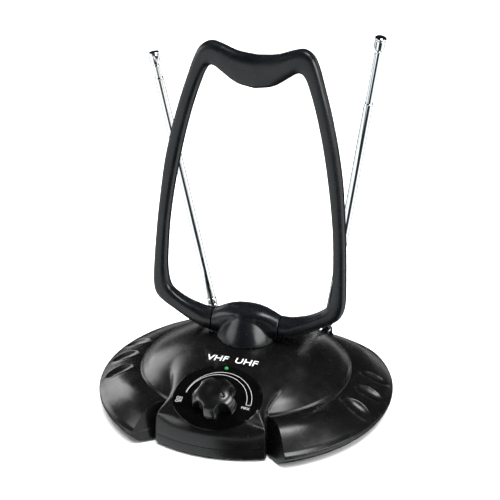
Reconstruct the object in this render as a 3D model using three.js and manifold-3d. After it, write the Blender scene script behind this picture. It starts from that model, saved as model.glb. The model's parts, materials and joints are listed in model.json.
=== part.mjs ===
// Amplified indoor television antenna: a round weighted base with a gain control on its
// sloping front, a tilting UHF loop on a central turret, and two telescopic VHF rods.
// Millimetres. +Z is up and -Y is the front, with the gain knob. The origin is the centre
// of the anti-slip pad's underside, on the axis of the base's circular rim.

import * as THREE from 'three';
import { mergeVertices } from 'three/addons/utils/BufferGeometryUtils.js';
import Module from 'manifold-3d';

// ---- driving dimensions ------------------------------------------------------------------

// base
const RIM_R = 100;             // radius of the rim at the parting line
const PART_Z = 8.6;            // height of the parting line between tray and upper housing
const TRAY_Z = 1.0;            // underside of the tray, above the anti-slip pad
const WALL = 2.6;              // wall thickness of the upper housing
const BACK_Y = 78.5;           // flattened back of the rim
const DOME_R = 69.5;           // ridge where the dome meets the wings
const DOME_TOP = 43.5;         // flat top of the dome, under the turret
const APRON_STRETCH = 0.2;     // how much further the dome reaches at the front
const APRON_HALF_ANGLE = 26.3; // half-width of the apron, in degrees about the axis
const APRON_FADE_ANGLE = 28.6; // where the apron's side wall meets the round dome
const WING_END = [             // three points on the flat end face of the right wing
  [33, -61, 22.8], [50, -83, 9.2], [44.5, -81, 0],
];
const GAP = 0.3;               // clearance between pieces that touch

// control panel and gain knob
const PANEL_TILT = 25;
const PANEL = { y: -64, z: 33.2, halfWidth: 31, halfHeight: 25, thickness: 1.2 };
const KNOB_DROP = 4;           // knob axis below the panel's centre, measured on the panel
const KNOB_R = 15;
const KNOB_H = 11.5;
const KNOB_LOBES = 5;
const SCOOP_R = 6.2;           // finger scallops between the lobes
const KNOB_REST = -16;         // where the pointer stands at rest, degrees from +X on the panel
const SHAFT_R = 3;
const LED_RISE = 22.3;         // power light above the panel's centre, measured on the panel
const GRIP_ANGLES = [74, 88, 102];
const FULLNESS = 0.16;         // how much the wings swell near their front ends

// turret and loop
const AXIS_Y = 3;              // tilt axis of the loop
const AXIS_Z = 53;
const LOOP_LEAN = 6.5;         // lean of the loop at rest, degrees backwards
const SEAM_X = 23;             // joint face between turret and loop
const SEAM_R = 8;
const HUB_R = 14;
const TURRET_FOOT_R = 20;
const CONE_TOP = 64;           // where the turret's cone runs out on the hub
const AXLE_R = 2.6;
const LOOP_DEPTH = 10;
const CONDUCTOR_R = 1.1;

// telescopic rods
const POST = { x: 41, y: 58.5 };
const BOSS_TOP = 21;
const PIVOT_Z = 25.5;
const ROD_STEP = 176.5;        // pivot to the top of the outer tube
const LEAN = { left: 13.8, right: 8.9 };
const TURN = { left: -11, right: -13.5 };  // swivel of each post at rest, degrees about +Z
const PULLED_OUT = { left: 8.4, right: 36.9 };  // second tube and all inside it, at rest
const TUBES = [
  { outer: 3.1, inner: 2.7, length: 168 },
  { outer: 2.45, inner: 2.1, length: 158 },
  { outer: 1.85, inner: 1.5, length: 148 },
];
const TIP_R = 1.2;
const TIP_LENGTH = 142;
const CAP_R = 4;
const CAP_H = 9;

// ---- solids ------------------------------------------------------------------------------

const wasm = await Module();
wasm.setup();

const DEG = Math.PI / 180;

// A closed three.js geometry as a manifold solid, faces pointing out.
function solid(geometry) {
  const bare = new THREE.BufferGeometry();
  bare.setAttribute('position', geometry.attributes.position.clone());
  if (geometry.index) bare.setIndex(geometry.index.clone());
  const merged = mergeVertices(bare, 1e-4);
  const position = merged.attributes.position;
  const triangles = [];
  for (let i = 0; i < merged.index.count; i += 3) {
    const corner = [0, 1, 2].map((k) => merged.index.getX(i + k));
    if (new Set(corner).size === 3) triangles.push(...corner);
  }
  if (signedVolume(position, triangles) < 0) {
    for (let i = 0; i < triangles.length; i += 3) {
      [triangles[i], triangles[i + 1]] = [triangles[i + 1], triangles[i]];
    }
  }
  return new wasm.Manifold(new wasm.Mesh({
    numProp: 3,
    vertProperties: new Float32Array(position.array),
    triVerts: new Uint32Array(triangles),
  }));
}

function signedVolume(position, triangles) {
  const corner = [new THREE.Vector3(), new THREE.Vector3(), new THREE.Vector3()];
  let volume = 0;
  for (let i = 0; i < triangles.length; i += 3) {
    corner.forEach((v, k) => v.fromBufferAttribute(position, triangles[i + k]));
    volume += corner[0].dot(corner[1].cross(corner[2])) / 6;
  }
  return volume;
}

function geometryOf(body) {
  const result = body.getMesh();
  const geometry = new THREE.BufferGeometry();
  geometry.setAttribute('position', new THREE.BufferAttribute(new Float32Array(result.vertProperties), 3));
  geometry.setIndex(new THREE.BufferAttribute(new Uint32Array(result.triVerts), 1));
  geometry.computeVertexNormals();
  return geometry;
}

const points = (pairs) => pairs.map(([a, b]) => new THREE.Vector2(a, b));

// A body of revolution about Z, from [radius, height] pairs that start and end on the axis.
function turned(pairs, segments = 32) {
  return new THREE.LatheGeometry(points(pairs), segments).rotateX(Math.PI / 2);
}

// The same, about the X axis: pairs are [radius, x].
function turnedAlongX(pairs, segments = 32) {
  return turned(pairs, segments).rotateY(Math.PI / 2);
}

// A cylinder, or a cone, standing on z = low.
function post(radius, low, high, segments = 24, topRadius = radius) {
  const height = high - low;
  return new THREE.CylinderGeometry(topRadius, radius, height, segments)
    .rotateX(Math.PI / 2)
    .translate(0, 0, low + height / 2);
}

function block(sizeX, sizeY, sizeZ, x, y, z) {
  return new THREE.BoxGeometry(sizeX, sizeY, sizeZ).translate(x, y, z);
}

// A flat shape in XY made thick upwards from z = low.
function plate(shape, low, thickness, curveSegments = 12) {
  const options = { depth: thickness, bevelEnabled: false, curveSegments };
  return new THREE.ExtrudeGeometry(shape, options).translate(0, 0, low);
}

// A round bar along a curve, closed at both ends.
function bar(curve, radius, steps, sides = 8) {
  const section = new THREE.Shape().absarc(0, 0, radius, 0, 2 * Math.PI);
  const options = { steps, extrudePath: curve, curveSegments: sides, bevelEnabled: false };
  return new THREE.ExtrudeGeometry(section, options);
}

function ring(outer, inner, low, high, segments = 24) {
  return solid(post(outer, low, high, segments)).subtract(solid(post(inner, low - 1, high + 1, segments)));
}

const smooth = (edge0, edge1, x) => THREE.MathUtils.smoothstep(x, edge0, edge1);

// ---- base outline ------------------------------------------------------------------------

const AROUND = 80;             // segments round the base, closer together beside the apron
const ANGLE_KNOTS = [[0, 0], [0.175, APRON_HALF_ANGLE], [0.25, APRON_FADE_ANGLE], [1, 180]];

// Share of a half turn from the front, 0 to 1, to an angle in degrees.
function clustered(share) {
  const next = ANGLE_KNOTS.findIndex(([s]) => s >= share - 1e-9);
  const [s1, a1] = ANGLE_KNOTS[Math.max(next, 1)];
  const [s0, a0] = ANGLE_KNOTS[Math.max(next, 1) - 1];
  return a0 + (a1 - a0) * (share - s0) / (s1 - s0);
}

// Radius of the rim at an angle from the front: round, with a flattened back.
function rimRadius(angle) {
  const reach = Math.cos((180 - angle) * DEG);
  if (reach < 0.3) return RIM_R;
  const softness = 16;
  return (RIM_R ** -softness + (BACK_Y / reach) ** -softness) ** (-1 / softness);
}

// How far a point of the dome moves out to form the apron: 1 is fully in the apron.
function apronShare(angle, radius) {
  const inner = APRON_HALF_ANGLE * smooth(30, DOME_R + 2, radius);
  return 1 - smooth(inner, APRON_FADE_ANGLE, angle);
}

// Turns a profile about Z, then moves each point to reshape(radius, angle) from the axis.
function shapedRound(pairs, reshape) {
  const geometry = turned(pairs, AROUND);
  const position = geometry.attributes.position;
  for (let i = 0; i < position.count; i += 1) {
    const radius = Math.hypot(position.getX(i), position.getY(i));
    const turn = Math.atan2(position.getX(i), -position.getY(i)) / Math.PI;
    const angle = clustered(Math.abs(turn)) * Math.sign(turn);
    const moved = reshape(radius, Math.abs(angle));
    position.setXY(i, moved * Math.sin(angle * DEG), -moved * Math.cos(angle * DEG));
  }
  return solid(geometry);
}

const domeReshape = (radius, angle) => radius * (1 + APRON_STRETCH * apronShare(angle, radius));

function wingReshape(radius, angle) {
  if (radius <= DOME_R) return radius;
  return DOME_R + (radius - DOME_R) * (rimRadius(angle) - DOME_R) / (RIM_R - DOME_R);
}

// The housing's wings are fuller towards their front ends than round the back.
function fullWing(radius, angle) {
  const share = Math.max((radius - DOME_R) / (RIM_R - DOME_R), 0);
  const swell = FULLNESS * (1 - smooth(35, 85, angle)) * Math.sin(Math.PI * Math.min(share, 1));
  return wingReshape(radius + swell * (RIM_R - DOME_R), angle);
}

function domeProfile(inset) {
  const top = DOME_TOP - inset;
  const low = PART_Z - inset / 4;
  return [
    [0, top], [23, top], [34 - 0.2 * inset, top - 1.1], [44 - 0.4 * inset, top - 4.5],
    [54 - 0.5 * inset, top - 9.2], [63 - 0.5 * inset, top - 14.3], [DOME_R - 0.6 * inset, 24.2 - 0.8 * inset],
    [DOME_R + 2.2 - inset, 21.4 - 0.6 * inset], [DOME_R + 3.3 - inset, 17], [DOME_R + 3.8 - inset, low], [0, low],
  ];
}

function wingProfile(inset) {
  const low = PART_Z - inset / 4;
  return [
    [0, 21.4 - inset], [DOME_R, 21.4 - inset], [78 - 0.2 * inset, 20 - inset], [86 - 0.3 * inset, 17.4 - inset],
    [92 - 0.5 * inset, 14.2 - 0.9 * inset], [96.5 - 0.8 * inset, 11.4 - 0.6 * inset],
    [99 - inset, 9.8 - 0.3 * inset], [99.8 - inset, low], [0, low],
  ];
}

// Everything beyond a wing's sloping end face, on the apron's side of it.
function wingCutter(side, inset) {
  const face = new THREE.Plane().setFromCoplanarPoints(...WING_END.map((p) => new THREE.Vector3(...p)));
  if (face.normal.x < 0) face.negate();
  const turn = new THREE.Quaternion().setFromUnitVectors(new THREE.Vector3(0, 0, 1), face.normal);
  const size = 200;
  const cutter = new THREE.BoxGeometry(size, size, size);
  cutter.translate(0, 0, inset - face.constant - size / 2).applyQuaternion(turn);
  const frontRight = solid(block(104, 100, 80, 50, -70, 30));
  const cut = geometryOf(solid(cutter).intersect(frontRight));
  return solid(side > 0 ? cut : cut.scale(-1, 1, 1));
}

function withoutEnds(body, inset) {
  return body.subtract(wingCutter(1, inset)).subtract(wingCutter(-1, inset));
}

const wings = (inset) => withoutEnds(shapedRound(wingProfile(inset), fullWing), inset);

function rodBoss(side, inset) {
  const profile = [
    [0, BOSS_TOP - inset], [5.4 - 0.3 * inset, BOSS_TOP - inset], [7.2 - 0.5 * inset, BOSS_TOP - 0.9 - inset],
    [10 - 0.5 * inset, 19 - inset], [14 - inset, 16 - inset], [14 - inset, PART_Z - inset / 4], [0, PART_Z - inset / 4],
  ];
  return solid(turned(profile, 28).translate(side * POST.x, POST.y, 0));
}

// ---- places on the sloping control panel -------------------------------------------------

const panelMatrix = new THREE.Matrix4()
  .makeTranslation(0, PANEL.y, PANEL.z)
  .multiply(new THREE.Matrix4().makeRotationX(PANEL_TILT * DEG));
const onPanel = (geometry) => geometry.applyMatrix4(panelMatrix);
const onKnobAxis = (geometry) => onPanel(geometry.translate(0, -KNOB_DROP, 0));

function oval(halfWidth, halfHeight) {
  return new THREE.Shape().absellipse(0, 0, halfWidth, halfHeight, 0, 2 * Math.PI);
}

// Raised oval seat that carries the control panel, with a sloping flank inside the apron's walls.
function panelSeat(inset) {
  const flank = 4;
  const seat = plate(oval(1, 1), 0, 1, 18).translate(0, 0, -1);
  const position = seat.attributes.position;
  for (let i = 0; i < position.count; i += 1) {
    const down = -position.getZ(i);
    const wider = 1.2 + down * flank * 1.3 - inset;
    position.setX(i, position.getX(i) * (PANEL.halfWidth + wider));
    position.setY(i, position.getY(i) * (PANEL.halfHeight + wider));
    position.setZ(i, -down * flank - inset);
  }
  const walls = [[0, PART_Z], [DOME_R + 1 - inset, PART_Z], [DOME_R + 1 - inset, 60], [0, 60]];
  return solid(onPanel(seat)).intersect(shapedRound(walls, domeReshape));
}

// Shallow oval finger grip on a wing's slope.
function fingerGrip(side, angle) {
  const grip = new THREE.SphereGeometry(1, 16, 10).scale(11.5, 6, 3.2);
  grip.rotateY(23 * DEG).translate(87, 0, 18.6).rotateZ((angle - 90) * DEG);
  return solid(side > 0 ? grip : grip.scale(-1, 1, 1));
}

// ---- base pieces -------------------------------------------------------------------------

const SCREWS = [[-58, -24], [58, -24], [-30, 62], [30, 62]];
const SOCKETS = { z: 13.2, coaxX: -12, powerX: 12, y: 70 };

function upperHousing() {
  const outside = (inset) => shapedRound(domeProfile(inset), domeReshape)
    .add(wings(inset))
    .add(rodBoss(1, inset))
    .add(rodBoss(-1, inset))
    .add(panelSeat(inset));
  const envelope = outside(0).intersect(solid(block(240, 240, 60, 0, 0, PART_Z + 30)));
  let body = envelope.subtract(outside(WALL));
  for (const [x, y] of SCREWS) {
    body = body.add(solid(post(4, 5.4, 40, 16).translate(x, y, 0)).intersect(envelope));
    body = body.subtract(solid(post(1.4, 5, 15, 12).translate(x, y, 0)));
  }
  body = body
    .subtract(solid(onPanel(plate(oval(PANEL.halfWidth + GAP, PANEL.halfHeight + GAP), -PANEL.thickness - GAP, 9, 24))))
    .subtract(solid(onKnobAxis(post(5, -8, 5, 20))))
    .subtract(solid(onPanel(post(2.5, -9, 5, 16).translate(0, LED_RISE, 0))))
    .subtract(solid(post(9, 36, 50, 24).translate(0, AXIS_Y, 0)));
  for (const x of [-15, 15]) body = body.subtract(solid(post(1.8, 36, 50, 12).translate(x, AXIS_Y, 0)));
  for (const side of [-1, 1]) {
    for (const angle of GRIP_ANGLES) body = body.subtract(fingerGrip(side, angle));
    body = body.subtract(solid(post(3.3, 10, 30, 20).translate(side * POST.x, POST.y, 0)));
    body = body.subtract(solid(post(5.4, BOSS_TOP, 40, 28).translate(side * POST.x, POST.y, 0)));
  }
  for (const x of [SOCKETS.coaxX, SOCKETS.powerX]) {
    body = body.subtract(solid(post(5.3, 0, 30, 20).rotateX(-Math.PI / 2).translate(x, 60, SOCKETS.z)));
  }
  return body;
}

function lowerTray() {
  const top = PART_Z - GAP;
  const middle = [[0, TRAY_Z], [72.2, TRAY_Z], [73.2, 2.4], [DOME_R + 3.8, top], [0, top]];
  const rim = [[0, TRAY_Z], [91.5, TRAY_Z], [95.2, 2.2], [98, 4.6], [99.4, 6.8], [99.8, top], [0, top]];
  const middleHollow = [[0, 3.6], [69.6, 3.6], [70.4, 5], [70.5, 12], [0, 12]];
  const rimHollow = [[0, 3.6], [90, 3.6], [94.6, 6], [96.8, 12], [0, 12]];
  let body = shapedRound(middle, domeReshape).add(withoutEnds(shapedRound(rim, wingReshape), 0));
  body = body.subtract(shapedRound(middleHollow, domeReshape));
  body = body.subtract(withoutEnds(shapedRound(rimHollow, wingReshape), WALL));
  for (const [x, y] of SCREWS) {
    body = body.subtract(solid(post(1.8, 0, 6, 12).translate(x, y, 0)));
    body = body.subtract(solid(post(3.4, 0, 2.2, 16).translate(x, y, 0)));
  }
  return body;
}

function antiSlipPad() {
  return solid(turned([[0, 0], [51, 0], [52, 0.3], [52, TRAY_Z - GAP], [0, TRAY_Z - GAP]], 48));
}

function ballastPlate() {
  const disc = solid(post(46, 3.8, 8.3, 48));
  return disc.subtract(solid(post(6, 3, 9, 20)));
}

function caseScrew(x, y) {
  const screw = turned([[0, 1.1], [3, 1.1], [3, 1.9], [1.2, 1.9], [1.2, 13.5], [0, 14.2]], 16);
  const slot = block(4.4, 0.8, 0.8, 0, 0, 1.2);
  return solid(screw).subtract(solid(slot)).translate([x, y, 0]);
}

function controlPanel() {
  const disc = solid(onPanel(plate(oval(PANEL.halfWidth, PANEL.halfHeight), -PANEL.thickness, PANEL.thickness, 24)));
  return disc
    .subtract(solid(onKnobAxis(post(4.2, -3, 3, 20))))
    .subtract(solid(onPanel(post(1.5, -3, 3, 14).translate(0, LED_RISE, 0))));
}

// Domed knob with scalloped finger lobes and a round pointer dimple.
function gainKnob() {
  const profile = [
    [0, 1], [KNOB_R, 1], [KNOB_R, 2.6], [KNOB_R - 0.7, 5.6], [KNOB_R - 2.4, 8.6], [KNOB_R - 5, 11], [7, 12.1],
    [3.4, KNOB_H], [0, KNOB_H],
  ];
  let body = solid(turned(profile, 40));
  for (let lobe = 0; lobe < KNOB_LOBES; lobe += 1) {
    const angle = (lobe + 0.5) * 360 / KNOB_LOBES * DEG;
    const scoop = post(SCOOP_R, 0, KNOB_H + 4, 24);
    scoop.translate((KNOB_R + 1.7) * Math.cos(angle), (KNOB_R + 1.7) * Math.sin(angle), 0);
    body = body.subtract(solid(scoop));
  }
  body = body.subtract(solid(post(1.5, 10, KNOB_H + 2, 16).translate(7.6, 0, 0)));
  body = body.subtract(solid(post(SHAFT_R + 0.12, 0, 9, 20)));
  const geometry = geometryOf(body).rotateZ(KNOB_REST * DEG);
  return solid(onKnobAxis(geometry));
}

function potBody() {
  const can = solid(post(8.5, -15, -7.2, 24)).add(solid(post(3.9, -8, -2.2, 20)));
  const lugs = solid(block(11, 6, 1.2, 0, -10, -9.4));
  const bore = solid(post(SHAFT_R + 0.2, -12, 0, 20));
  return solid(onKnobAxis(geometryOf(can.add(lugs).subtract(bore))));
}

function potNut() {
  const nut = solid(post(5.8, -6.6, -4.4, 6)).subtract(solid(post(4.2, -8, -3, 20)));
  return solid(onKnobAxis(geometryOf(nut)));
}

const potShaft = () => solid(onKnobAxis(post(SHAFT_R, -11.5, 8.6, 20)));

function powerLed() {
  const lens = [[0, -7], [2.1, -7], [2.1, -1.6], [1.2, -1.6], [1.2, 0.5], [0.7, 1], [0, 1.1]];
  return solid(onPanel(turned(lens, 14).translate(0, LED_RISE, 0)));
}

const BOARD = { x: 0, y: 28, z: 12, width: 62, length: 58, thickness: 1.6 };

function circuitBoard() {
  const board = solid(block(BOARD.width, BOARD.length, BOARD.thickness, BOARD.x, BOARD.y, BOARD.z));
  return board.subtract(solid(block(24, 8, 4, 0, 57, BOARD.z)));
}

function shieldCan() {
  const low = BOARD.z + BOARD.thickness / 2 + GAP;
  const can = solid(block(26, 22, 8, 12, 20, low + 4));
  return can.subtract(solid(block(25, 21, 7.4, 12, 20, low + 3.2)));
}

function capacitor() {
  const low = BOARD.z + BOARD.thickness / 2 + GAP;
  return solid(turned([[0, 0], [4, 0], [4, 10.6], [3.6, 11], [0, 11]], 20).translate(-18, 22, low));
}

// A threaded F-type outlet, pointing back.
function coaxSocket() {
  const barrel = solid(post(4.7, 0, 18, 24)).subtract(solid(post(3.2, 8, 20, 20)));
  const pin = solid(post(0.5, 6, 14, 10));
  const body = barrel.add(pin).add(solid(block(11, 9, 4, 0, 0, 1)));
  return solid(geometryOf(body).rotateX(-Math.PI / 2).translate(SOCKETS.coaxX, SOCKETS.y - 8, SOCKETS.z));
}

// A low-voltage barrel inlet, pointing back.
function powerInlet() {
  const shell = solid(post(4.7, 0, 15, 24)).subtract(solid(post(3.3, 5, 16, 20)));
  const body = shell.add(solid(post(0.9, 4, 13, 12))).add(solid(block(10, 9, 5, 0, 0, 1.5)));
  return solid(geometryOf(body).rotateX(-Math.PI / 2).translate(SOCKETS.powerX, SOCKETS.y - 8, SOCKETS.z));
}

// ---- turret and loop ---------------------------------------------------------------------

function hubProfile(inset, halfLength) {
  const stations = 8;
  const pairs = [[0, -halfLength]];
  for (let i = 0; i <= stations; i += 1) {
    const x = halfLength * (2 * i / stations - 1);
    const swell = Math.cos(Math.PI * x / (2 * halfLength)) ** 2;
    pairs.push([SEAM_R - inset + (HUB_R - SEAM_R) * swell, x]);
  }
  pairs.push([0, halfLength]);
  return pairs;
}

function turretCone(inset) {
  const low = DOME_TOP + GAP;
  const profile = [
    [0, low - inset], [TURRET_FOOT_R - inset, low - inset], [TURRET_FOOT_R - inset, low + 0.7],
    [18.6 - inset, low + 3], [15.6 - inset, low + 8.2], [12.2 - inset, low + 14], [8.4 - inset, CONE_TOP - inset],
    [0, CONE_TOP - inset],
  ];
  return solid(turned(profile, 28).translate(0, AXIS_Y, 0));
}

function turretCover() {
  const onAxis = (geometry) => solid(geometry.translate(0, AXIS_Y, AXIS_Z));
  const outer = onAxis(turnedAlongX(hubProfile(0, SEAM_X), 28)).add(turretCone(0));
  const hollow = onAxis(turnedAlongX(hubProfile(2.4, SEAM_X - 3), 20)).add(turretCone(2.4));
  let body = outer.subtract(hollow);
  for (const x of [-15, 15]) {
    body = body.add(solid(post(3.4, DOME_TOP + GAP, 51, 16).translate(x, AXIS_Y, 0)));
  }
  body = body.subtract(onAxis(post(AXLE_R + GAP, -40, 40, 20).rotateY(Math.PI / 2)));
  for (const x of [-15, 15]) {
    body = body.subtract(solid(post(1.3, 40, 49, 12).translate(x, AXIS_Y, 0)));
  }
  return body.subtract(solid(block(90, 60, 20, 0, AXIS_Y, DOME_TOP + GAP - 10)));
}

function turretScrew(x) {
  const screw = turned([[0, 37.2], [3, 37.2], [3, 39.2], [1.05, 39.4], [1.05, 47.6], [0, 48.2]], 14);
  return solid(screw.translate(x, AXIS_Y, 0));
}

const loopAxle = () => solid(post(AXLE_R, -31, 31, 20).rotateY(Math.PI / 2).translate(0, AXIS_Y, AXIS_Z));

function frictionWasher(side) {
  const washer = ring(6, AXLE_R + GAP, 0, 0.5, 24);
  const x = side > 0 ? SEAM_X + 0.25 : -SEAM_X - 0.75;
  return solid(geometryOf(washer).rotateY(Math.PI / 2).translate(x, AXIS_Y, AXIS_Z));
}

// The loop is drawn in its own plane: x across, and s up from the tilt axis.
const LOOP_START = SEAM_X + 1;
const OUTER_EDGE = [
  [LOOP_START, -8], [29.5, -7.4], [44, -0.4], [51, 3.5], [59, 8], [65, 14], [67, 21], [66.5, 37], [64.9, 62],
  [63.2, 82], [60.6, 106], [56.4, 128], [51.2, 149], [45.4, 168], [41.2, 180], [37.2, 187], [31.4, 190.4],
  [24.5, 189], [13, 185.1], [0, 183.6],
];
const INNER_EDGE = [
  [0, 161.8], [9, 162.9], [17, 166.4], [24.2, 172], [29, 174.3], [33, 171.6], [36.4, 164.4], [41.4, 149.5],
  [46.8, 128], [51.2, 106], [54.7, 82], [56.6, 62], [57.6, 42], [56.4, 26], [53.6, 18.2], [47.5, 13.8],
  [37.5, 9.6], [30, 8.1], [LOOP_START, 8],
];

// Leans a solid drawn in the loop's plane (x, s, depth) back to its place on the axis.
function inLoopPlane(geometry) {
  return geometry
    .rotateX(Math.PI / 2 - LOOP_LEAN * DEG)
    .translate(0, AXIS_Y, AXIS_Z);
}

function smoothEdge(pairs, divisions) {
  return new THREE.SplineCurve(points(pairs)).getSpacedPoints(divisions);
}

function loopShape() {
  const right = smoothEdge(OUTER_EDGE, 30);
  const inside = smoothEdge(INNER_EDGE, 26);
  const mirror = (list) => list.map((p) => new THREE.Vector2(-p.x, p.y)).reverse();
  const outline = [...right, ...mirror(right).slice(1), ...mirror(inside), ...inside.slice(1)];
  const half = [...right, ...inside.slice(0)];
  return { outline, half };
}

// Centre line of the loop's conductor, in three dimensions.
function conductorCurve() {
  const half = [
    [LOOP_START + 3, 4.4], [34, 4.6], [45, 7.4], [55.5, 13], [61.4, 23], [62, 42], [60.8, 62], [59, 82], [56, 106],
    [51.8, 128], [46.6, 149], [41.8, 166], [36, 178.5], [28, 181.6], [15, 176.2],
  ];
  const left = half.map(([x, s]) => new THREE.Vector3(-x, s, 0));
  const right = half.map(([x, s]) => new THREE.Vector3(x, s, 0)).reverse();
  return new THREE.CatmullRomCurve3([...left, new THREE.Vector3(0, 173.4, 0), ...right]);
}

function loopBody() {
  const bevel = 3.8;
  const shape = new THREE.Shape(loopShape().outline);
  const options = {
    depth: LOOP_DEPTH - 2 * bevel, steps: 1, bevelEnabled: true, bevelSize: bevel, bevelOffset: -bevel,
    bevelThickness: bevel, bevelSegments: 2,
  };
  let body = solid(new THREE.ExtrudeGeometry(shape, options).translate(0, 0, bevel - LOOP_DEPTH / 2));
  const root = [[0, LOOP_START], [SEAM_R, LOOP_START], [7.7, 27], [6.6, 30.5], [4.6, 34], [0, 34]];
  for (const side of [-1, 1]) {
    const cone = turnedAlongX(root, 32);
    body = body.add(solid(side > 0 ? cone : cone.scale(-1, 1, 1)));
  }
  body = body.subtract(solid(bar(conductorCurve(), CONDUCTOR_R + 0.6, 40, 3)));
  return body.subtract(solid(post(AXLE_R + GAP, -32, 32, 20).rotateY(Math.PI / 2)));
}

function loopHalf(face) {
  const keep = solid(block(200, 260, 30, 0, 90, face * (15 + GAP / 2)));
  return solid(inLoopPlane(geometryOf(loopBody().intersect(keep))));
}

const loopConductor = () => solid(inLoopPlane(bar(conductorCurve(), CONDUCTOR_R, 40, 3)));

// ---- telescopic rods ---------------------------------------------------------------------

function rodPlace(side) {
  const name = side > 0 ? 'right' : 'left';
  return new THREE.Matrix4()
    .makeTranslation(side * POST.x, POST.y, PIVOT_Z)
    .multiply(new THREE.Matrix4().makeRotationZ(TURN[name] * DEG))
    .multiply(new THREE.Matrix4().makeRotationY(side * LEAN[name] * DEG));
}

// Places a solid drawn about a vertical axis on that rod's post, turned as the post is at rest.
function onPost(side, geometry) {
  const turn = TURN[side > 0 ? 'right' : 'left'] * DEG;
  return solid(geometry.rotateZ(turn).translate(side * POST.x, POST.y, 0));
}

const alongRod = (side, geometry) => solid(geometry.applyMatrix4(rodPlace(side)));

// Swivelling fork: a shank through the boss, a round table, and two ears for the pin.
function rodSwivel(side) {
  const table = BOSS_TOP + GAP;
  let body = solid(turned([
    [0, 12.4], [2.9, 12.4], [2.9, table], [4.6, table], [4.6, table + 1.1], [0, table + 1.1],
  ], 24));
  for (const face of [-1, 1]) {
    const ear = solid(block(5.6, 1.3, PIVOT_Z - table, 0, face * 2.7, (PIVOT_Z + table) / 2))
      .add(solid(post(2.8, -0.65, 0.65, 20).rotateX(Math.PI / 2).translate(0, face * 2.7, PIVOT_Z)));
    body = body.add(ear);
  }
  body = body.subtract(solid(post(1.35, -6, 6, 16).rotateX(Math.PI / 2).translate(0, 0, PIVOT_Z)));
  return onPost(side, geometryOf(body));
}

const rodPin = (side) => onPost(side, post(1.15, -3.9, 3.9, 16).rotateX(Math.PI / 2).translate(0, 0, PIVOT_Z));

function rodNut(side) {
  const nut = solid(post(5.2, 14.6, 16.8, 6)).subtract(solid(post(3.1, 14, 18, 20)));
  return onPost(side, geometryOf(nut));
}

function rodKnuckle(side) {
  const lug = solid(post(2.5, -1.75, 1.75, 20).rotateX(Math.PI / 2))
    .add(solid(block(4.4, 3.5, 5, 0, 0, 3)))
    .add(solid(post(2.7, 4.6, 7, 20)))
    .add(solid(post(2.3, 6, 12, 16)));
  return alongRod(side, geometryOf(lug.subtract(solid(post(1.45, -6, 6, 16).rotateX(Math.PI / 2)))));
}

function rodTube(side, level) {
  const { outer, inner, length } = TUBES[level];
  const out = level > 0 ? PULLED_OUT[side > 0 ? 'right' : 'left'] : 0;
  const top = ROD_STEP + out + 0.4 * level;
  const tube = ring(outer, inner, top - length, top, 16);
  return alongRod(side, geometryOf(tube));
}

function rodTip(side) {
  const top = ROD_STEP + PULLED_OUT[side > 0 ? 'right' : 'left'] + 1.1;
  const flange = top + CAP_H - 2.2;
  const cap = turned([
    [0, top - 1], [TIP_R, top - 1], [TIP_R, top], [CAP_R - 0.4, top], [CAP_R - 0.4, flange], [CAP_R, flange + 0.2],
    [CAP_R, top + CAP_H - 0.8], [CAP_R - 1, top + CAP_H], [0, top + CAP_H],
  ], 24);
  const rod = post(TIP_R, top - TIP_LENGTH, top, 12);
  return alongRod(side, geometryOf(solid(rod).add(solid(cap))));
}

// Insulated lead from each rod's post down to the circuit board.
function rodLead(side) {
  const route = new THREE.CatmullRomCurve3([
    new THREE.Vector3(side * (POST.x - 6), POST.y - 2, 14.2),
    new THREE.Vector3(side * 33, POST.y - 10, 15.6),
    new THREE.Vector3(side * 29, 42, 15.4),
    new THREE.Vector3(side * 27, 34, 13.6),
  ]);
  return solid(bar(route, 0.7, 12, 3));
}

// ---- finishes ----------------------------------------------------------------------------

function finish(color, roughness, metalness = 0) {
  return () => new THREE.MeshStandardMaterial({ color, roughness, metalness });
}

const satinBlack = finish(0x17181a, 0.45);
const glossBlack = finish(0x050506, 0.08);
const chrome = finish(0xd8dadd, 0.12, 1);
const brass = finish(0xb59a55, 0.3, 1);
const zincSteel = finish(0x9a9c9e, 0.4, 1);
const rubber = finish(0x1c1c1c, 0.9);
const greenLens = finish(0x1f9d4a, 0.2);
const boardGreen = finish(0x1d5a34, 0.6);
const copper = finish(0xb4673c, 0.35, 1);
const greyWire = finish(0x55565a, 0.7);

// ---- assembly ----------------------------------------------------------------------------

const antenna = new THREE.Group();

function add(name, body, material) {
  const mesh = new THREE.Mesh(geometryOf(body), material());
  mesh.name = name;
  antenna.add(mesh);
}

add('upper_housing', upperHousing(), satinBlack);
add('lower_tray', lowerTray(), satinBlack);
add('anti_slip_pad', antiSlipPad(), rubber);
add('ballast_plate', ballastPlate(), zincSteel);
SCREWS.forEach(([x, y], i) => add(`case_screw_${i + 1}`, caseScrew(x, y), zincSteel));

add('control_panel', controlPanel(), glossBlack);
add('gain_knob', gainKnob(), glossBlack);
add('gain_shaft', potShaft(), zincSteel);
add('gain_potentiometer', potBody(), zincSteel);
add('potentiometer_nut', potNut(), brass);
add('power_led', powerLed(), greenLens);

add('circuit_board', circuitBoard(), boardGreen);
add('shield_can', shieldCan(), zincSteel);
add('smoothing_capacitor', capacitor(), glossBlack);
add('coax_socket', coaxSocket(), chrome);
add('power_inlet', powerInlet(), glossBlack);

add('turret_cover', turretCover(), satinBlack);
[-15, 15].forEach((x, i) => add(`turret_screw_${i + 1}`, turretScrew(x), zincSteel));
add('loop_axle', loopAxle(), zincSteel);
add('friction_washer_left', frictionWasher(-1), brass);
add('friction_washer_right', frictionWasher(1), brass);
add('loop_front', loopHalf(1), satinBlack);
add('loop_rear', loopHalf(-1), satinBlack);
add('loop_conductor', loopConductor(), copper);

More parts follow.
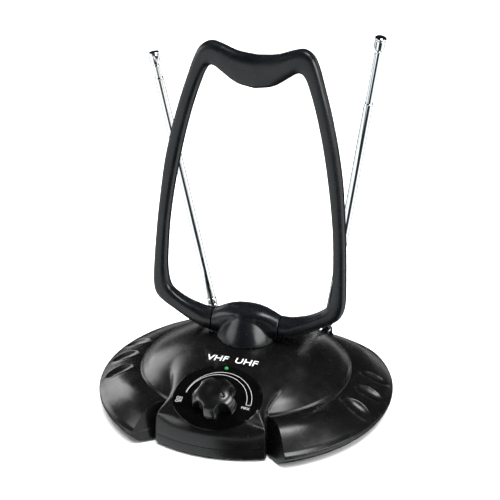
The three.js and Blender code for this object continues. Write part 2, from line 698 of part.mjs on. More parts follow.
for (const [name, side] of [['left', -1], ['right', 1]]) {
  add(`rod_swivel_${name}`, rodSwivel(side), satinBlack);
  add(`rod_pin_${name}`, rodPin(side), zincSteel);
  add(`rod_nut_${name}`, rodNut(side), brass);
  add(`rod_knuckle_${name}`, rodKnuckle(side), chrome);
  TUBES.forEach((tube, level) => add(`rod_tube_${level + 1}_${name}`, rodTube(side, level), chrome));
  add(`rod_tip_${name}`, rodTip(side), chrome);
  add(`rod_lead_${name}`, rodLead(side), greyWire);
}

export default antenna;
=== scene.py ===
import json
import math

import bmesh
import bpy
import numpy as np
from mathutils import Matrix, Vector
from mathutils.bvhtree import BVHTree


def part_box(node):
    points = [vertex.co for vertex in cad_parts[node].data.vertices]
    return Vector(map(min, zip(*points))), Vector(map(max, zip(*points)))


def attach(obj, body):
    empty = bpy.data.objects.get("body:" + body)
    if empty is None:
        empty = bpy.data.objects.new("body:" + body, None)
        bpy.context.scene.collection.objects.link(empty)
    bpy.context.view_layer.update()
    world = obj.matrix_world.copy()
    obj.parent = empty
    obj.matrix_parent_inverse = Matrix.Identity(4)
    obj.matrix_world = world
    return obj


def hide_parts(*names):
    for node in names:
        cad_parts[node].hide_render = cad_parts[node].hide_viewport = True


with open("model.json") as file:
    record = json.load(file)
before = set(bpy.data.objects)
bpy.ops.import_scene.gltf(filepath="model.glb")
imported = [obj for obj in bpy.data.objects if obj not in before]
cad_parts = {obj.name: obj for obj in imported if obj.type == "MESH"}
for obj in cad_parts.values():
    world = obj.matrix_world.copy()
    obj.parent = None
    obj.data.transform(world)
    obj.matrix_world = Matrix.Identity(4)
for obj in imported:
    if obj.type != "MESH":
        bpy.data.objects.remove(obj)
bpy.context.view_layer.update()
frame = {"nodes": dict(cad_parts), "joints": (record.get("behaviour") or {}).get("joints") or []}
NODES = frame["nodes"]
JOINTS = {joint["name"]: joint for joint in frame["joints"]}
MM = 0.001


# ---- places and sizes taken from the frame -------------------------------------------------

def span(node, axis):
    """The size of a CAD node along one axis, in mm."""
    low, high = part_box(node)
    return (high[axis] - low[axis]) / MM


def centre(node):
    low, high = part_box(node)
    return (low + high) / 2


def joint_place(name):
    joint = JOINTS[name]
    return Vector(joint["pos_m"]), Vector(joint["axis"]).normalized()


RIM_R = span("upper_housing", 0) / 2
PART_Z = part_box("upper_housing")[0].z / MM
TRAY_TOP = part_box("lower_tray")[1].z / MM
TRAY_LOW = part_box("lower_tray")[0].z / MM
BACK_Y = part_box("upper_housing")[1].y / MM
DOME_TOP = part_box("turret_cover")[0].z / MM - 0.3
KNOB_POS, KNOB_AXIS = joint_place("gain_turn")
HUB_POS = joint_place("loop_tilt")[0]
PANEL_CENTRE = centre("control_panel") + 0.6 * MM * KNOB_AXIS
# half width and half length of the panel, in mm; it stays clear of the apron's sides
PANEL_A = span("control_panel", 0) / 2 - 1.1
PANEL_B = (span("control_panel", 1) / 2 - 0.3) / KNOB_AXIS.z
PANEL_X = Vector((1, 0, 0))
PANEL_Y = KNOB_AXIS.cross(PANEL_X).normalized()
PANEL_TURN = Matrix((PANEL_X, PANEL_Y, KNOB_AXIS)).transposed().to_4x4()
PANEL_PLACE = Matrix.Translation(PANEL_CENTRE) @ PANEL_TURN
KNOB_PLACE = Matrix.Translation(KNOB_POS) @ PANEL_TURN
SEAM_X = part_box("turret_cover")[1].x / MM
FOOT_R = span("turret_cover", 1) / 2

# shape of the base, in mm and degrees from the front
DOME_R = 69.5
# share by which the apron reaches further out than the dome
DOME_STRETCH = 0.2
APRON_ANGLE = 26.3
FADE_ANGLE = 28.6
# three points of the plane of the right wing's end face
WING_END = np.array([[33, -61, 22.8], [50, -83, 9.2], [44.5, -81, 0.0]])


# ---- mesh helpers --------------------------------------------------------------------------

def smooth(low, high, x):
    """0 below low, 1 above high and an S-curve between."""
    t = np.clip((np.asarray(x, float) - low) / (high - low), 0, 1)
    return t * t * (3 - 2 * t)


def add_object(name, mesh):
    obj = bpy.data.objects.new(name, mesh)
    bpy.context.scene.collection.objects.link(obj)
    return obj


def from_faces(name, points, faces, place=None, sharp=35):
    """An object from points in mm and faces, moved by place, shaded smooth below a sharp angle."""
    mesh = bpy.data.meshes.new(name)
    mesh.from_pydata([tuple(float(c) * MM for c in p) for p in points], [], faces)
    bm = bmesh.new()
    bm.from_mesh(mesh)
    bmesh.ops.remove_doubles(bm, verts=bm.verts, dist=1e-6)
    bmesh.ops.dissolve_degenerate(bm, edges=bm.edges, dist=1e-7)
    bmesh.ops.recalc_face_normals(bm, faces=bm.faces)
    limit = math.radians(sharp)
    for edge in bm.edges:
        edge.smooth = len(edge.link_faces) == 2 and edge.calc_face_angle(math.pi) < limit
    for face in bm.faces:
        face.smooth = True
    bm.to_mesh(mesh)
    bm.free()
    if place is not None:
        mesh.transform(place)
    return add_object(name, mesh)


def grid_faces(rows, cols, wrap_rows=False, wrap_cols=False):
    """Quads of a rows by cols grid of points."""
    faces = []
    for i in range(rows if wrap_rows else rows - 1):
        for j in range(cols if wrap_cols else cols - 1):
            a = i * cols + j
            b = i * cols + (j + 1) % cols
            c = ((i + 1) % rows) * cols + (j + 1) % cols
            d = ((i + 1) % rows) * cols + j
            faces.append((a, b, c, d))
    return faces


def spline(points, per_span):
    """Points on a Catmull-Rom curve through the given points."""
    p = np.array(points, float)
    p = np.vstack([2 * p[0] - p[1], p, 2 * p[-1] - p[-2]])
    out = []
    for i in range(1, len(p) - 2):
        t = np.linspace(0, 1, per_span, endpoint=False)[:, None]
        a, b, c, d = p[i - 1], p[i], p[i + 1], p[i + 2]
        bend = (2 * a - 5 * b + 4 * c - d) * t ** 2 + (3 * b - a - 3 * c + d) * t ** 3
        out.append(0.5 * (2 * b + (c - a) * t + bend))
    out.append(p[-2][None, :])
    return np.vstack(out)


def lathe(name, profile, place=None, segments=64, sharp=35):
    """A closed body of revolution about Z from (radius, height) pairs in mm."""
    ring = np.linspace(0, 2 * math.pi, segments, endpoint=False)
    points = [(r * math.cos(a), r * math.sin(a), z) for r, z in profile for a in ring]
    rows = len(profile)
    closed = profile[0][0] > 1e-6
    faces = grid_faces(rows, segments, wrap_rows=closed, wrap_cols=True)
    return from_faces(name, points, faces, place, sharp)


def rounded(profile, radius, steps=4):
    """A profile whose corners are rounded by about that radius."""
    pts = [np.array(p, float) for p in profile]
    out = [pts[0]]
    for before, at, after in zip(pts, pts[1:], pts[2:]):
        a, b = before - at, after - at
        la, lb = np.linalg.norm(a), np.linalg.norm(b)
        r = min(radius, 0.45 * la, 0.45 * lb)
        p, q = at + a / la * r, at + b / lb * r
        for t in np.linspace(0, 1, steps + 1):
            out.append((1 - t) ** 2 * p + 2 * t * (1 - t) * at + t * t * q)
    out.append(pts[-1])
    return [tuple(p) for p in out]


def add_bevel(obj, width, segments=3, angle=35):
    bevel = obj.modifiers.new("edges", "BEVEL")
    bevel.width = width * MM
    bevel.segments = segments
    bevel.limit_method = "ANGLE"
    bevel.angle_limit = math.radians(angle)
    bevel.harden_normals = False


def smooth_union(a, b, k):
    """Distance to two bodies joined by a fillet of about k."""
    h = np.clip(0.5 + 0.5 * (b - a) / k, 0, 1)
    return b + (a - b) * h - k * h * (1 - h)


def smooth_cut(a, b, k):
    """Distance a with the body of distance b taken away."""
    return -smooth_union(-a, b, k)


def reach(distance, origins, directions, far):
    """How far each ray goes before it last leaves the body described by distance."""
    inside = np.zeros(len(origins))
    outside = np.full(len(origins), far)
    steps = np.linspace(0, far, 72)
    found = np.zeros(len(origins), bool)
    for near, step in zip(steps[-2::-1], steps[:0:-1]):
        hit = (distance(origins + directions * near) < 0) & ~found
        inside[hit], outside[hit] = near, step
        found |= hit
    for _ in range(26):
        middle = (inside + outside) / 2
        within = distance(origins + directions * middle[:, None]) < 0
        inside = np.where(within, middle, inside)
        outside = np.where(within, outside, middle)
    return inside


def finish_piece(obj, body, slot, material, *nodes):
    """Gives a piece its material and body, and hides the CAD nodes that it stands for. The slot argument is
    not used.
    """
    obj.data.materials.clear()
    obj.data.materials.append(material)
    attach(obj, body)
    if nodes:
        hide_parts(*nodes)
    return obj


# ---- materials -----------------------------------------------------------------------------

class Nodes:
    """A material under construction, with short ways to add its nodes."""

    def __init__(self, name):
        self.material = bpy.data.materials.new(name)
        self.material.use_nodes = True
        self.tree = self.material.node_tree
        self.shader = next(n for n in self.tree.nodes if n.type == "BSDF_PRINCIPLED")
        self.coords = self.tree.nodes.new("ShaderNodeTexCoord").outputs["Object"]

    def set(self, **values):
        for key, value in values.items():
            self.shader.inputs[key.replace("_", " ")].default_value = value
        return self

    def noise(self, scale, detail=4, stretch=None, roughness=0.55):
        node = self.tree.nodes.new("ShaderNodeTexNoise")
        node.inputs["Scale"].default_value = scale
        node.inputs["Detail"].default_value = detail
        node.inputs["Roughness"].default_value = roughness
        source = self.coords
        if stretch:
            mapping = self.tree.nodes.new("ShaderNodeMapping")
            mapping.inputs["Scale"].default_value = stretch
            self.tree.links.new(source, mapping.inputs["Vector"])
            source = mapping.outputs["Vector"]
        self.tree.links.new(source, node.inputs["Vector"])
        return node.outputs["Fac"]

    def ramp(self, source, low, high, start=0.35, end=0.65):
        node = self.tree.nodes.new("ShaderNodeMapRange")
        node.inputs["From Min"].default_value = start
        node.inputs["From Max"].default_value = end
        node.inputs["To Min"].default_value = low
        node.inputs["To Max"].default_value = high
        self.tree.links.new(source, node.inputs["Value"])
        return node.outputs["Result"]

    def colours(self, source, dark, light, start=0.35, end=0.65):
        node = self.tree.nodes.new("ShaderNodeValToRGB")
        node.color_ramp.elements[0].position = start
        node.color_ramp.elements[0].color = (*dark, 1)
        node.color_ramp.elements[1].position = end
        node.color_ramp.elements[1].color = (*light, 1)
        self.tree.links.new(source, node.inputs["Fac"])
        return node.outputs["Color"]

    def link(self, source, socket):
        self.tree.links.new(source, self.shader.inputs[socket])
        return self

    def bump(self, source, strength, distance):
        node = self.tree.nodes.new("ShaderNodeBump")
        node.inputs["Strength"].default_value = strength
        node.inputs["Distance"].default_value = distance
        self.tree.links.new(source, node.inputs["Height"])
        self.tree.links.new(node.outputs["Normal"], self.shader.inputs["Normal"])
        return self


def moulded_plastic(name, dark, light, rough_low, rough_high, grain, coat=0.0):
    m = Nodes(name).set(IOR=1.5, Coat_Weight=coat, Coat_Roughness=0.2)
    m.link(m.colours(m.noise(60, 3), dark, light), "Base Color")
    m.link(m.ramp(m.noise(120, 2), rough_low, rough_high), "Roughness")
    m.bump(m.noise(700, 1), grain, 0.00002)
    return m.material


def gloss_plastic(name, dark, light):
    m = Nodes(name).set(IOR=1.4)
    m.link(m.colours(m.noise(80, 3), dark, light), "Base Color")
    m.link(m.ramp(m.noise(900, 6, stretch=(1, 0.12, 1)), 0.07, 0.14, 0.3, 0.7), "Roughness")
    m.bump(m.noise(120, 2), 0.05, 0.00004)
    return m.material


def metal(name, dark, light, rough_low, rough_high, stretch=None, scale=700, bump=0.05):
    m = Nodes(name).set(Metallic=1.0)
    m.link(m.colours(m.noise(40, 4), dark, light), "Base Color")
    streaks = m.noise(scale, 5, stretch=stretch)
    m.link(m.ramp(streaks, rough_low, rough_high), "Roughness")
    m.bump(streaks, bump, 0.00002)
    return m.material


def rubber_material():
    m = Nodes("pad_rubber").set(IOR=1.45)
    m.link(m.colours(m.noise(90, 5), (0.012, 0.012, 0.012), (0.03, 0.029, 0.028)), "Base Color")
    m.link(m.ramp(m.noise(300, 4), 0.75, 0.95), "Roughness")
    m.bump(m.noise(1500, 4), 0.5, 0.0002)
    return m.material


def lens_material():
    m = Nodes("green_lens").set(IOR=1.45, Emission_Strength=0.05, Roughness=0.3)
    m.link(m.colours(m.noise(1500, 3), (0.006, 0.12, 0.03), (0.02, 0.26, 0.08)), "Base Color")
    m.link(m.colours(m.noise(900, 2), (0.0, 0.16, 0.04), (0.02, 0.32, 0.1)), "Emission Color")
    m.bump(m.noise(500, 2), 0.1, 0.0001)
    return m.material


def ink_material(name, thin, full):
    m = Nodes(name).set(IOR=1.45)
    m.link(m.colours(m.noise(2500, 4), thin, full, 0.3, 0.6), "Base Color")
    m.link(m.ramp(m.noise(1800, 3), 0.35, 0.6), "Roughness")
    m.bump(m.noise(4000, 3), 0.2, 0.00002)
    return m.material


SATIN = moulded_plastic("satin_plastic", (0.0022, 0.0022, 0.0023), (0.0034, 0.0033, 0.0033),
                        0.22, 0.28, 0.08)
# painted sheen: the loop's and turret's black plastic has its base colour lifted and tinted blue-grey,
# standing in for blue-grey reflections
LOOP_SATIN_PAINTED_SHEEN = moulded_plastic("loop_plastic_painted_sheen", (0.0026, 0.0032, 0.0041), (0.0038, 0.0047, 0.0059),
                             0.24, 0.31, 0.08)
GLOSS = gloss_plastic("gloss_plastic", (0.0008, 0.0008, 0.0009), (0.0016, 0.0016, 0.0017))
KNOB_GLOSS = moulded_plastic("knob_gloss", (0.0014, 0.0015, 0.0016), (0.0026, 0.0027, 0.0028),
                             0.26, 0.33, 0.02, 1.0)
NYLON = moulded_plastic("washer_nylon", (0.004, 0.004, 0.004), (0.01, 0.01, 0.01), 0.5, 0.65, 0.1)
CHROME = metal("rod_chrome", (0.86, 0.87, 0.88), (0.95, 0.95, 0.96), 0.03, 0.08,
               stretch=(1, 1, 0.05), scale=900)
ZINC = metal("zinc_steel", (0.36, 0.37, 0.38), (0.5, 0.5, 0.5), 0.28, 0.45, scale=500, bump=0.2)
BRASS = metal("brass", (0.5, 0.36, 0.12), (0.66, 0.5, 0.2), 0.2, 0.36, scale=500, bump=0.15)
COPPER = metal("copper", (0.5, 0.2, 0.09), (0.68, 0.32, 0.16), 0.25, 0.4, scale=400, bump=0.15)
RUBBER = rubber_material()
LENS = lens_material()
INK = ink_material("white_print", (0.55, 0.55, 0.54), (0.8, 0.8, 0.79))
FINE_INK = ink_material("fine_print", (0.3, 0.3, 0.3), (0.45, 0.45, 0.45))
BOARD = moulded_plastic("board", (0.012, 0.07, 0.025), (0.03, 0.13, 0.05), 0.3, 0.5, 0.3)
WIRE = moulded_plastic("wire", (0.06, 0.06, 0.065), (0.11, 0.11, 0.115), 0.4, 0.6, 0.2)


# ---- base ----------------------------------------------------------------------------------

def rim_radius(angle):
    """Radius of the rim, round with a flattened back, at angles from the front in degrees."""
    back = np.maximum(np.cos(np.radians(180 - angle)), 0.3)
    softness = 16
    blend = (RIM_R ** -softness + (BACK_Y / back) ** -softness) ** (-1 / softness)
    return np.where(np.cos(np.radians(180 - angle)) < 0.3, RIM_R, blend)


def apron_share(angle, radius):
    """1 on the front apron, falling to 0 past its sides, which spread out towards the middle."""
    inner = (APRON_ANGLE - 1.6) * smooth(30, DOME_R + 2, radius)
    outer = FADE_ANGLE + 0.4 + 27 * (1 - smooth(48, DOME_R - 0.5, radius))
    return 1 - smooth(inner, outer, angle)


def half_angles():
    """Angles from the front to the back, closer together at the apron's side."""
    return np.concatenate([
        np.linspace(0, APRON_ANGLE - 5, 40, endpoint=False),
        np.linspace(APRON_ANGLE - 5, FADE_ANGLE + 0.6, 42, endpoint=False),
        np.linspace(FADE_ANGLE + 0.6, 180, 160),
    ])


def dome_profiles():
    """Stations of the dome from the top to the parting line: crisp at the ridge, soft for the apron."""
    top = spline([[0, DOME_TOP], [12, DOME_TOP], [23, DOME_TOP], [34, DOME_TOP - 1.1],
                  [44, DOME_TOP - 4.5], [54, DOME_TOP - 9.2], [63, DOME_TOP - 14.3], [DOME_R, 24.2]], 9)
    top[:, 1] = np.minimum(top[:, 1], DOME_TOP)
    edge = np.array(rounded([(DOME_R - 1.2, 25.1), (DOME_R, 24.2), (DOME_R + 1.1, 22.8)], 1.0, 6)[1:-1])
    wall = spline([[DOME_R + 1.1, 22.8], [DOME_R + 2.2, 21.4], [DOME_R + 3.2, 17],
                   [DOME_R + 3.7, 12], [DOME_R + 3.8, PART_Z]], 6)
    crisp = np.vstack([top[:-1], edge, wall[1:]])
    soft_end = spline([[54, DOME_TOP - 9.2], [61, DOME_TOP - 13.6], [66.5, 26.2], [70, 22.6],
                       [72.2, 18.2], [73.2, 13.2], [73.3, PART_Z]], 12)
    soft = np.vstack([top[top[:, 0] < 53.5], soft_end])
    along = np.concatenate([[0], np.cumsum(np.hypot(*np.diff(soft, axis=0).T))])
    share = np.linspace(0, 1, len(crisp)) * along[-1]
    soft = np.column_stack([np.interp(share, along, soft[:, k]) for k in (0, 1)])
    return crisp, soft


def dome():
    crisp, soft = dome_profiles()
    half = half_angles()
    angles = np.concatenate([half, -half[-2:0:-1]])
    points = []
    for angle in angles:
        a = abs(angle)
        blend = 1 - smooth(12, 27, a)
        stations = crisp * (1 - blend) + soft * blend
        r = stations[:, 0] * (1 + DOME_STRETCH * apron_share(a, stations[:, 0]))
        x = r * math.sin(math.radians(angle))
        y = -r * math.cos(math.radians(angle))
        z = stations[:, 1]
        points.extend(np.column_stack([x, y, z]))
        points.append((x[-1], y[-1], PART_Z))
    cols = len(crisp) + 1
    faces = grid_faces(len(angles), cols, wrap_rows=True)
    faces.append(tuple(i * cols + cols - 1 for i in range(len(angles))))
    obj = from_faces("housing_dome", points, faces, sharp=60)
    return finish_piece(obj, "base", "satin_plastic", SATIN, "upper_housing")


def end_angle(r, z):
    """Angle from the front at which a wing's flat end face meets a circle of radius r at height z."""
    a, b, c = WING_END
    n = np.cross(b - a, c - a)
    n = n * np.sign(n[0])
    k = n @ a
    reach_xy = math.hypot(n[0], n[1])
    lean = math.atan2(n[1], n[0])
    return np.degrees(np.arcsin(np.clip((k - n[2] * z) / (reach_xy * r), -1, 1)) + lean)


# finger grips: angles from the front, and size in mm
GRIP_ANGLES = (74, 88, 102)
GRIP_R = 86.5
GRIP_HALF_WIDTH = 6.0
GRIP_HALF_LENGTH = 9.6
GRIP_DEPTH = 3.0


def grip_depth(angle, r):
    """Depth in mm of the finger grips in a wing's surface."""
    depth = np.zeros_like(r)
    for at in GRIP_ANGLES:
        across = np.radians(angle - at) * GRIP_R / GRIP_HALF_WIDTH
        along = (r - GRIP_R) / GRIP_HALF_LENGTH
        q = np.hypot(across, along)
        pocket = GRIP_DEPTH * np.clip(1 - q ** 2, 0, 1)
        lip = -0.5 * np.exp(-((q - 1.12) / 0.16) ** 2) * smooth(-0.2, 0.8, -across)
        depth = depth + pocket + lip
    return depth


def wing_section(profile, with_grips, lift):
    """Points of both wings: a closed section carried round the back from one end face to the other."""
    steps = 400
    rows = []
    r0, z0 = profile[:, 0], profile[:, 1]
    for u in np.linspace(-1, 1, 2 * steps + 1):
        side = 1 if u >= 0 else -1
        r = np.array(r0)
        z = np.array(z0)
        start = end_angle(r, z)
        for _ in range(2):
            angle = 180 - (180 - start) * abs(u) ** 0.9
            edge = rim_radius(angle)
            r = np.where(r0 > DOME_R, DOME_R + (r0 - DOME_R) * (edge - DOME_R) / (RIM_R - DOME_R), r0)
            swell = np.sin(np.pi * np.clip((r0 - 66) / 31.5, 0, 1)) ** 1.2
            z = z0 + lift * (1 - smooth(40, 78, angle)) * swell * smooth(9, 12, z0)
            start = end_angle(r, z)
        angle = 180 - (180 - start) * abs(u) ** 0.9
        if with_grips:
            z = z - grip_depth(angle, r) * smooth(9.5, 12, z0)
        x = side * r * np.sin(np.radians(angle))
        y = -r * np.cos(np.radians(angle))
        rows.append(np.column_stack([x, y, z]))
    return rows


def wing_body(name, profile, with_grips, lift, node):
    rows = wing_section(np.array(profile, float), with_grips, lift)
    cols = len(rows[0])
    faces = grid_faces(len(rows), cols, wrap_cols=True)
    faces.append(tuple(range(cols)))
    faces.append(tuple((len(rows) - 1) * cols + j for j in range(cols))[::-1])
    obj = from_faces(name, np.vstack(rows), faces, sharp=40)
    add_bevel(obj, 0.5, 3, 40)
    return finish_piece(obj, "base", "satin_plastic", SATIN, node)


def wings():
    outer = spline([[DOME_R - 0.5, 21.5], [73.5, 21.1], [78, 20.1], [82, 18.9], [86, 17.4], [89, 15.9],
                    [92, 14.2], [94.5, 12.7], [96.5, 11.4], [98.6, 9.9], [99.5, 9.2], [RIM_R, PART_Z]], 7)
    section = np.vstack([outer, [[DOME_R - 0.5, PART_Z]]])
    wing_body("housing_wings", section, True, 4.2, "upper_housing")


def tray():
    rim = spline([[RIM_R, TRAY_TOP], [99.5, 6.8], [98.2, 4.6], [95.6, 2.4], [91.5, TRAY_LOW + 0.15]], 5)
    section = np.vstack([[[70, TRAY_TOP]], rim, [[90, TRAY_LOW], [70, TRAY_LOW]]])
    wing_body("tray_wings", section, False, 0, "lower_tray")
    half = half_angles()
    angles = np.concatenate([half, -half[-2:0:-1]])
    edge = [(0, TRAY_TOP), (73.3, TRAY_TOP), (73.2, 2.4), (72.2, TRAY_LOW), (0, TRAY_LOW)]
    stations = np.array(rounded(edge, 0.3, 2))
    points = []
    for angle in angles:
        r = stations[:, 0] * (1 + DOME_STRETCH * apron_share(abs(angle), stations[:, 0]))
        turn = math.radians(angle)
        points.extend(np.column_stack([r * math.sin(turn), -r * math.cos(turn), stations[:, 1]]))
    faces = grid_faces(len(angles), len(stations), wrap_rows=True)
    obj = from_faces("tray_middle", points, faces, sharp=45)
    finish_piece(obj, "base", "satin_plastic", SATIN, "lower_tray")


# ---- panel, scale, knob --------------------------------------------------------------------

def laid_on(surface, points, lift=0.0):
    """Panel points (across, up, height) in mm, dropped along the panel's normal onto a surface.

    Each point ends up its own height plus the lift above the surface.
    """
    out = []
    for across, up, height in points:
        start = PANEL_PLACE @ Vector((across * MM, up * MM, 30 * MM))
        hit, normal = surface.ray_cast(start, -KNOB_AXIS)[:2]
        out.append((hit + normal * (height + lift) * MM) / MM)
    return out


# height of the panel's face above the apron, in mm
PLATE = 0.45


def oval_plate(surface):
    steps = 200
    rings = [(k / 16, PLATE) for k in range(16)]
    rings += [(0.985, PLATE), (0.996, 0.38), (1.0, 0.2), (1.0, -0.9)]
    ring = np.linspace(0, 2 * math.pi, steps, endpoint=False)
    top = [(s * PANEL_A * math.cos(a), s * PANEL_B * math.sin(a), z) for s, z in rings for a in ring]
    points = laid_on(surface, top)
    faces = grid_faces(len(rings), steps, wrap_cols=True)
    faces.append(tuple((len(rings) - 1) * steps + j for j in range(steps)))
    obj = from_faces("control_panel_plate", points, faces, None, 50)
    return finish_piece(obj, "base", "gloss_plastic", GLOSS, "control_panel")


PRINT_LIFT = PLATE - 0.01


def ribbon(name, surface, path, width, height):
    """A raised printed line along a closed path on the panel."""
    path = np.array(path, float)
    ahead = np.roll(path, -1, axis=0) - np.roll(path, 1, axis=0)
    ahead /= np.linalg.norm(ahead, axis=1)[:, None]
    side = np.column_stack([-ahead[:, 1], ahead[:, 0]]) * width / 2
    n = len(path)
    rows = [(path - side, 0.0), (path - side, height), (path + side, height), (path + side, 0.0)]
    points = laid_on(surface, [(x, y, z) for xy, z in rows for x, y in xy], PRINT_LIFT)
    obj = from_faces(name, points, grid_faces(4, n, wrap_rows=True, wrap_cols=True), None, 30)
    return finish_piece(obj, "base", "gloss_plastic", FINE_INK)


def gain_scale(surface):
    """A crescent outline that widens from the off end to the full-gain end."""
    turn = np.linspace(math.radians(173), 0, 120)
    outer = np.column_stack([1.3 + 22.2 * np.cos(turn), -3.3 + 22.2 * np.sin(turn)])
    inner = np.column_stack([20.5 * np.cos(turn), -3.4 + 20.0 * np.sin(turn)])
    return ribbon("gain_scale", surface, np.vstack([outer, inner[::-1]]), 0.3, 0.08)


def printed_text(name, words, size, x, y):
    """A thin mesh of lettering centred at panel coordinates, in mm."""
    curve = bpy.data.curves.new(name, "FONT")
    curve.body = words
    curve.size = size * MM
    curve.extrude = 0.04 * MM
    curve.align_x = "CENTER"
    curve.align_y = "CENTER"
    curve.space_line = 0.85
    text = add_object(name + "_source", curve)
    bpy.context.view_layer.update()
    mesh = bpy.data.meshes.new_from_object(text.evaluated_get(bpy.context.evaluated_depsgraph_get()))
    bpy.data.objects.remove(text)
    mesh.transform(Matrix.Translation((x * MM, y * MM, 0.06 * MM)))
    mesh.name = name
    return mesh


def cut_up(mesh, longest):
    """Divides the edges of a mesh so that it can bend."""
    bm = bmesh.new()
    bm.from_mesh(mesh)
    bmesh.ops.triangulate(bm, faces=bm.faces)
    for _ in range(3):
        long_edges = [edge for edge in bm.edges if edge.calc_length() > longest * MM]
        bmesh.ops.subdivide_edges(bm, edges=long_edges, cuts=1)
    bmesh.ops.triangulate(bm, faces=bm.faces)
    bm.to_mesh(mesh)
    bm.free()


def label(name, surface, words, size, x, y, lift, ink):
    """Lettering that follows the surface under it, placed by panel coordinates."""
    mesh = printed_text(name, words, size, x, y)
    cut_up(mesh, 1.5)
    points = [vert.co / MM for vert in mesh.vertices]
    for vert, place in zip(mesh.vertices, laid_on(surface, points, lift)):
        vert.co = Vector(place) * MM
    return finish_piece(add_object(name, mesh), "base", "gloss_plastic", ink)


# the knob in mm: its half width and height, and how square its dome is
KNOB_R = 15.0
KNOB_DOME = 12.0
KNOB_ROUNDNESS = 2.9
# ball that dishes the knob's top
DISH_R = 13.5
DISH_Z = 24.9
# scoops in the knob's side, with their centres this far outside it
SCOOP_R = 6.2
SCOOP_OUT = 1.7
# ball that sinks the pointer's dimple
DIMPLE_R = 1.8
DIMPLE_OUT = 7.9
DIMPLE_Z = 12.1
# angle of the pointer's lobe at rest, in degrees
KNOB_REST = -16
LOBES = 5


def knob_distance(p):
    """Signed distance, roughly, to the knob's grip: a dome with scooped sides."""
    x, y, z = p[:, 0], p[:, 1], p[:, 2]
    r = np.hypot(x, y)
    power = KNOB_ROUNDNESS
    dome_part = (((r / KNOB_R) ** power + (np.abs(z) / KNOB_DOME) ** power) ** (1 / power) - 1) * KNOB_DOME
    dish = DISH_R - np.hypot(r, z - DISH_Z)
    body = smooth_cut(dome_part, -dish, 0.5)
    for lobe in range(LOBES):
        angle = math.radians(KNOB_REST + 360 / LOBES * (lobe + 0.5))
        out = KNOB_R + SCOOP_OUT
        scoop = np.hypot(x - out * math.cos(angle), y - out * math.sin(angle)) - SCOOP_R
        body = smooth_cut(body, scoop, 0.45)
    angle = math.radians(KNOB_REST)
    dx = x - DIMPLE_OUT * math.cos(angle)
    dy = y - DIMPLE_OUT * math.sin(angle)
    dimple = np.sqrt(dx ** 2 + dy ** 2 + (z - DIMPLE_Z) ** 2) - DIMPLE_R
    return smooth_cut(body, dimple, 0.25)


def knob():
    lats, lons = 130, 330
    rows = []
    start = np.array([0.0, 0.0, 1.0])
    for lat in np.linspace(0, math.pi / 2, lats)[:-1]:
        lon = np.linspace(0, 2 * math.pi, lons, endpoint=False)
        level = math.cos(lat)
        d = np.column_stack([np.cos(lon) * level, np.sin(lon) * level, np.full(lons, math.sin(lat))])
        far = reach(knob_distance, np.repeat(start[None, :], lons, 0), d, 20.0)
        rows.append(start + d * far[:, None])
    top = reach(knob_distance, start[None, :], np.array([[0.0, 0.0, 1.0]]), 20.0)
    points = np.vstack([*rows, [start + [0, 0, top[0]]], [start]])
    faces = grid_faces(len(rows), lons, wrap_cols=True)
    last = (len(rows) - 1) * lons
    apex = len(rows) * lons
    faces += [(last + j, last + (j + 1) % lons, apex) for j in range(lons)]
    faces += [((j + 1) % lons, j, apex + 1) for j in range(lons)]
    grip = from_faces("knob_grip", points, faces, KNOB_PLACE, 42)
    finish_piece(grip, "gain_control", "gloss_plastic", KNOB_GLOSS, "gain_knob")


def power_light():
    place = Matrix.Translation(centre("power_led") + 3.2 * MM * KNOB_AXIS) @ PANEL_TURN
    profile = rounded([(0, -6), (1.25, -6), (1.25, 0.3), (0.9, 0.75), (0, 0.95)], 0.2, 4)
    obj = lathe("power_light", profile, place, 40, 50)
    return finish_piece(obj, "base", "green_lens", LENS, "power_led")


# ---- turret and loop -----------------------------------------------------------------------

# radius of the spindle at its seams, and how much it swells upwards and forwards between them
SPINDLE_R = 8.0
SWELL_UP = 6.0
SWELL_OUT = 0.8


def turret_distance(p):
    """Signed distance, roughly, to the hub's spindle blended into its foot."""
    x = p[:, 0]
    y = p[:, 1] - HUB_POS.y / MM
    z = p[:, 2] - HUB_POS.z / MM
    swell = (1 - np.clip(np.abs(x) / SEAM_X, 0, 1) ** 2.4) ** 1.25
    radius = SPINDLE_R + SWELL_UP * swell
    deep = (SPINDLE_R + SWELL_OUT * swell) / radius
    spindle = np.hypot(y / np.where(z < 0, deep, deep + (1 - deep) * smooth(0, 14, z)), z) - radius
    low = DOME_TOP + 0.3 - HUB_POS.z / MM
    up = np.clip((z - low) / 20.2, 0, 1)
    flank = FOOT_R + 0.4 - 12.0 * up ** 1.25
    cone = np.maximum(np.hypot(x, y) - flank, z - 10.0)
    return smooth_union(spindle, cone * 0.86, 1.5)


def turret():
    xs = np.concatenate([
        np.linspace(-SEAM_X, -SEAM_X + 1, 5, endpoint=False),
        np.linspace(-SEAM_X + 1, SEAM_X - 1, 120),
        np.linspace(SEAM_X - 1, SEAM_X, 5)[1:],
    ])
    around = 180
    turn = np.linspace(0, 2 * math.pi, around, endpoint=False)
    d = np.column_stack([np.zeros(around), np.cos(turn), np.sin(turn)])
    floor = DOME_TOP + 0.35 - HUB_POS.z / MM
    rows = []
    for x in xs:
        start = np.repeat([[x, HUB_POS.y / MM, HUB_POS.z / MM]], around, 0)
        far = reach(turret_distance, start, d, 30.0)
        far = far - 0.25 * (abs(x) > SEAM_X - 0.3)
        down = np.where(d[:, 2] * far < floor, floor / np.minimum(d[:, 2], -1e-6), far)
        rows.append(start + d * down[:, None])
    points = np.vstack(rows)
    faces = grid_faces(len(xs), around, wrap_cols=True)
    faces.append(tuple(range(around)))
    faces.append(tuple((len(xs) - 1) * around + j for j in range(around))[::-1])
    obj = from_faces("turret_shell", points, faces, sharp=55)
    return finish_piece(obj, "base", "satin_plastic", LOOP_SATIN_PAINTED_SHEEN, "turret_cover")


